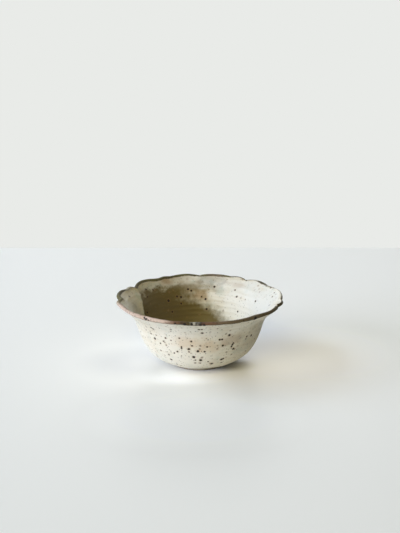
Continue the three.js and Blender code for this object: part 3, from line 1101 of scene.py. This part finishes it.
def table_material(stage):
    """The plain table. The camera sees it evenly lit, but for the bowl's shade: patches of painted light
    lift the shadows, and painted shade dims where the lamps light it most and beside the foot.
    """
    material, shader, position = new_material("table")
    seen = position.put("ShaderNodeLightPath", {}, "Is Camera Ray")
    shown, glow = stage.table_seen, stage.glow
    for centre, reach, patch_tone, patch_glow in TABLE_PAINTED_LIGHT_AND_SHADE:
        patch = soft_patch(position, centre, reach)
        shown = patch.blend(shown, getattr(stage, patch_tone))
        glow = patch.blend(glow, getattr(stage, patch_glow))
    grain = position.noise(260.0)
    sockets = {
        "Base Color": seen.blend(stage.table_tone, shown),
        "Emission Color": seen.blend((0, 0, 0), glow),
        "Emission Strength": 1,
        "Roughness": grain.stretch(0.3, 0.7, 0.34, 0.42),
        "Specular IOR Level": 0.14,
    }
    fill(shader, sockets)
    return material


def surface_finder(mesh, from_outside):
    """Finds where a level line in a given direction meets a piece's surface."""
    tree = BVHTree.FromPolygons(
        [vertex.co for vertex in mesh.vertices], [polygon.vertices for polygon in mesh.polygons]
    )

    def find(at, height):
        turn = math.radians(at)
        away = Vector((math.cos(turn), math.sin(turn), 0))
        axis = Vector((FOOT_CENTRE.x, FOOT_CENTRE.y, height))
        start = axis + away * 2 * bpy.context.scene.bowl_form.rim_radius if from_outside else axis
        hit = tree.ray_cast(start, -away if from_outside else away)[0]
        if hit is None:
            raise RuntimeError(f"nothing of the bowl is met at {at} degrees and {height} m")
        return hit

    return find


def spots_on(find, spots):
    """The spots with their places in the round: centre and width."""
    return [(find(at, height), width) for at, height, width in spots]


def patches_on(find, patches):
    """The patches with their places in the round: tone, strength, centre and reach."""
    return [
        (key, strength, find(at, height), (wide, wide, high))
        for key, strength, at, height, wide, high in patches
    ]


def the_bowl():
    """The bowl in the sizes that the scene holds."""
    scene = bpy.context.scene
    return Bowl(scene.bowl_form, scene.bowl_touch)


class MakeFootRing(bpy.types.Operator):
    """Makes the turned ring of bare clay that the bowl stands on"""

    bl_idname = "bowl.make_foot_ring"
    bl_label = "Foot ring"

    def execute(self, context):
        bowl = the_bowl()
        form, touch = bowl.form, bowl.touch
        outer = form.foot_radius
        inner = outer - form.foot_width
        bevel = form.foot_bevel
        top = outer + form.foot_flare
        side = np.linspace(bevel, form.foot_height, FOOT_STATIONS)[1:]
        seat = np.linspace(top, inner, SEAT_STATIONS)[1:-1]
        rise = (side - bevel) / (form.foot_height - bevel)
        groove = touch.turned_ring * np.sin(2 * math.tau * rise) * (1 - rise)
        outline = [
            *corner_arc((inner + bevel, bevel), bevel, 180, 270, BEVEL_STATIONS),
            *corner_arc((outer - bevel, bevel), bevel, 270, 360, BEVEL_STATIONS),
            *zip(outer + (top - outer) * rise + form.foot_fillet * rise**4 + groove, side),
            *[(x, form.foot_height) for x in seat],
            *[(inner, y) for y in np.linspace(form.foot_height, bevel, BORE_STATIONS)[:-1]],
        ]
        rings = []
        for x, y in outline:
            wear = FOOT_WEAR * (1 + unevenness(bowl.directions(x, y), FOOT_WEAR_SIZE)) * (y < bevel)
            rings.append((bowl.ring(x, np.minimum(y + wear, form.foot_height)), FAR))
        mesh = loft("turned_foot", rings, bowl.past_crease)
        place(mesh, clay_material("foot clay"), "foot_ring", "bare_clay")
        return {"FINISHED"}


class MakeClayWall(bpy.types.Operator):
    """Makes the thrown clay, from the recess under the foot to the bare heel and the lip"""

    bl_idname = "bowl.make_clay_wall"
    bl_label = "Clay wall"

    def execute(self, context):
        bowl = the_bowl()
        form, touch = bowl.form, bowl.touch
        inner = form.foot_radius - form.foot_width
        top = form.foot_radius + form.foot_flare
        fillet = form.recess_fillet
        profile = []
        for radius in np.linspace(0, inner - fillet, RECESS_STATIONS):
            turns = radius / touch.turned_pitch + bowl.at / math.tau
            fade = smoothstep(radius, 0, touch.turned_pitch)
            height = form.recess_depth - NUB_HEIGHT * math.exp(-((radius / NUB_WIDTH) ** 2))
            profile.append((radius, height + fade * touch.turned_ring * np.cos(math.tau * turns)))
        centre = (inner - fillet, form.recess_depth - fillet)
        profile += corner_arc(centre, fillet, 90, 0, FILLET_STATIONS)[1:]
        profile += [(x, form.foot_height) for x in np.linspace(inner, top, SEAT_STATIONS)[:-1]]
        profile.append((top + form.foot_fillet, form.foot_height))
        rings = [(bowl.ring(x, y), FAR) for x, y in profile]
        for part in HEEL_PARTS:
            share = bowl.settled(bowl.glaze_line * part)
            rings.append(bowl.hidden(share, form.outer_coat * part**HEEL_EASING))
        rings += bowl.clay_outside() + bowl.clay_inside()[::-1]
        mesh = loft("thrown_wall", rings, bowl.past_crease)
        place(mesh, clay_material("heel clay"), "clay_wall", "bare_clay")
        return {"FINISHED"}


class MakeOuterGlaze(bpy.types.Operator):
    """Makes the speckled coat on the outside, down to its wandering lower edge"""

    bl_idname = "bowl.make_outer_glaze"
    bl_label = "Outer glaze"

    def execute(self, context):
        bowl = the_bowl()
        rings = bowl.outer_skin() + bowl.clay_outside()[::-1]
        mesh = loft("outside_coat", rings, bowl.past_crease)
        find = surface_finder(mesh, from_outside=True)
        look = GlazeLook(
            peppered=(0.6, 0.7),
            fine=0.6,
            spots=spots_on(find, OUTSIDE_SPOTS),
            patches=patches_on(find, OUTSIDE_PATCHES),
            strewn=0.42,
            facing=(-0.026, -0.012),
            stained=False,
        )
        place(mesh, glaze_material("outer glaze", look), "outer_glaze", "outer_glaze")
        return {"FINISHED"}


class MakeInnerGlaze(bpy.types.Operator):
    """Makes the speckled lining, over the floor and up to the lip"""

    bl_idname = "bowl.make_inner_glaze"
    bl_label = "Inner glaze"

    def execute(self, context):
        bowl = the_bowl()
        mesh = loft("lining_coat", bowl.clay_inside() + bowl.inner_skin(), bowl.past_crease)
        find = surface_finder(mesh, from_outside=False)
        look = GlazeLook(
            peppered=(0.3, 0.4),
            fine=0.35,
            spots=spots_on(find, INSIDE_SPOTS),
            patches=patches_on(find, INSIDE_PATCHES),
            strewn=0.42,
            facing=(-0.004, -0.02),
            stained=True,
        )
        place(mesh, glaze_material("inner glaze", look), "inner_glaze", "inner_glaze")
        return {"FINISHED"}


class MakeRimEdge(bpy.types.Operator):
    """Makes the rounded lip, where the iron-brown clay shows through"""

    bl_idname = "bowl.make_rim_edge"
    bl_label = "Rim edge"

    def execute(self, context):
        bowl = the_bowl()
        lean = bowl.form.lip_lean
        brim = np.linspace(bowl.rim_line, 1, BRIM_STATIONS + 1)
        rings = [bowl.clay_outside()[-1]]
        rings += [bowl.outside(share) for share in brim[:-1]]
        turns = np.linspace(lean - math.pi / 2, lean + math.pi / 2, NOSE_STATIONS)
        rings += [bowl.round_nose(turn) for turn in turns]
        rings += [bowl.inside(share) for share in brim[-2::-1]]
        rings.append(bowl.clay_inside()[-1])
        mesh = loft("iron_lip", rings, bowl.past_crease)
        blots = spots_on(surface_finder(mesh, from_outside=True), RIM_SPOTS)
        dots = spots_on(surface_finder(mesh, from_outside=False), RIM_DOTS)
        look = GlazeLook(
            peppered=(0.3, 0.6),
            fine=0.6,
            spots=blots + dots,
            patches=[],
            strewn=0.3,
            facing=(-0.026, -0.012),
            stained=False,
        )
        place(mesh, glaze_material("lip iron", look), "rim_edge", "iron_rim")
        return {"FINISHED"}


def look_from(eye, target):
    """The turn of a camera or a lamp at eye that looks at target."""
    return (target - eye).to_track_quat("-Z", "Y").to_euler()


class MakeStage(bpy.types.Operator):
    """Makes the table, the air behind it, the lamps and the camera"""

    bl_idname = "bowl.make_stage"
    bl_label = "Stage"

    def execute(self, context):
        stage = context.scene.bowl_stage
        self.make_table(context, stage)
        self.make_air(context, stage)
        self.make_lamps(context, stage)
        self.make_camera(context, stage)
        context.scene.view_settings.view_transform = "Standard"
        return {"FINISHED"}

    def make_table(self, context, stage):
        low = Vector((-stage.table_side, -stage.table_near, -stage.table_thickness))
        high = Vector((stage.table_side, stage.table_far, TABLE_TOP))
        mesh = bpy.data.meshes.new("table_top")
        corners = [(x, y, z) for z in (low.z, high.z) for y in (low.y, high.y) for x in (low.x, high.x)]
        faces = [(0, 2, 3, 1), (4, 5, 7, 6), (0, 1, 5, 4), (2, 6, 7, 3), (0, 4, 6, 2), (1, 3, 7, 5)]
        mesh.from_pydata(corners, [], faces)
        mesh.materials.append(table_material(stage))
        table = bpy.data.objects.new("table_top", mesh)
        context.scene.collection.objects.link(table)
        rounding = table.modifiers.new("rounded edges", "BEVEL")
        rounding.width = stage.table_thickness / 4
        rounding.segments = 4

    def make_air(self, context, stage):
        world = bpy.data.worlds.new("air")
        world.use_nodes = True
        context.scene.world = world
        seen = add(world.node_tree, "ShaderNodeLightPath").outputs
        rays = [Value(seen[name]) for name in ("Is Camera Ray", "Is Glossy Ray", "Is Transmission Ray")]
        background = world.node_tree.nodes["Background"]
        fill(background, {"Color": stage.air_tone, "Strength": strongest(rays)})

    def make_lamps(self, context, stage):
        for name, where, power, colour in LAMPS:
            light = bpy.data.lights.new(name, "AREA")
            light.shape = "RECTANGLE"
            light.size = LAMP_WIDTH
            light.size_y = LAMP_HEIGHT
            light.energy = power * stage.lamp_power
            light.color = colour
            lamp = bpy.data.objects.new(name, light)
            lamp.location = where
            lamp.rotation_euler = look_from(Vector(where), BOWL_MIDDLE)
            context.scene.collection.objects.link(lamp)

    def make_camera(self, context, stage):
        data = bpy.data.cameras.new("camera")
        data.lens = LENS * data.sensor_width / PHOTO_HEIGHT
        target = Vector((0, 0, context.scene.bowl_form.bowl_height))
        tilt = stage.camera_height
        eye = target + stage.camera_distance * Vector((0, -math.cos(tilt), math.sin(tilt)))
        camera = bpy.data.objects.new("camera", data)
        camera.location = eye + Vector((LIP_ACROSS, 0, 0))
        camera.rotation_euler = (math.pi / 2 - tilt + LOOK_BELOW, 0, 0)
        context.scene.collection.objects.link(camera)
        context.scene.camera = camera


class BowlPanel(bpy.types.Panel):
    """Lists the pieces of the bowl and its stage"""

    bl_idname = "VIEW3D_PT_bowl"
    bl_label = "Pinched bowl"
    bl_space_type = "VIEW_3D"
    bl_region_type = "UI"
    bl_category = "Bowl"

    def draw(self, context):
        for operator in OPERATORS:
            self.layout.operator(operator.bl_idname)
        for name, group in SETTINGS.items():
            box = self.layout.box()
            for key in group.__annotations__:
                box.prop(getattr(context.scene, name), key)


OPERATORS = [MakeFootRing, MakeClayWall, MakeOuterGlaze, MakeInnerGlaze, MakeRimEdge, MakeStage]
SETTINGS = {
    "bowl_form": BowlForm,
    "bowl_touch": BowlTouch,
    "bowl_finish": BowlFinish,
    "bowl_stage": StageLook,
}


def register():
    for group in SETTINGS.values():
        bpy.utils.register_class(group)
    for name, group in SETTINGS.items():
        setattr(bpy.types.Scene, name, bpy.props.PointerProperty(type=group))
    for operator in OPERATORS:
        bpy.utils.register_class(operator)
    bpy.utils.register_class(BowlPanel)


def unregister():
    bpy.utils.unregister_class(BowlPanel)
    for operator in reversed(OPERATORS):
        bpy.utils.unregister_class(operator)
    for name, group in reversed(SETTINGS.items()):
        delattr(bpy.types.Scene, name)
        bpy.utils.unregister_class(group)


def main():
    register()
    bpy.ops.bowl.make_foot_ring()
    bpy.ops.bowl.make_clay_wall()
    bpy.ops.bowl.make_outer_glaze()
    bpy.ops.bowl.make_inner_glaze()
    bpy.ops.bowl.make_rim_edge()
    bpy.ops.bowl.make_stage()


if __name__ == "__main__":
    main()
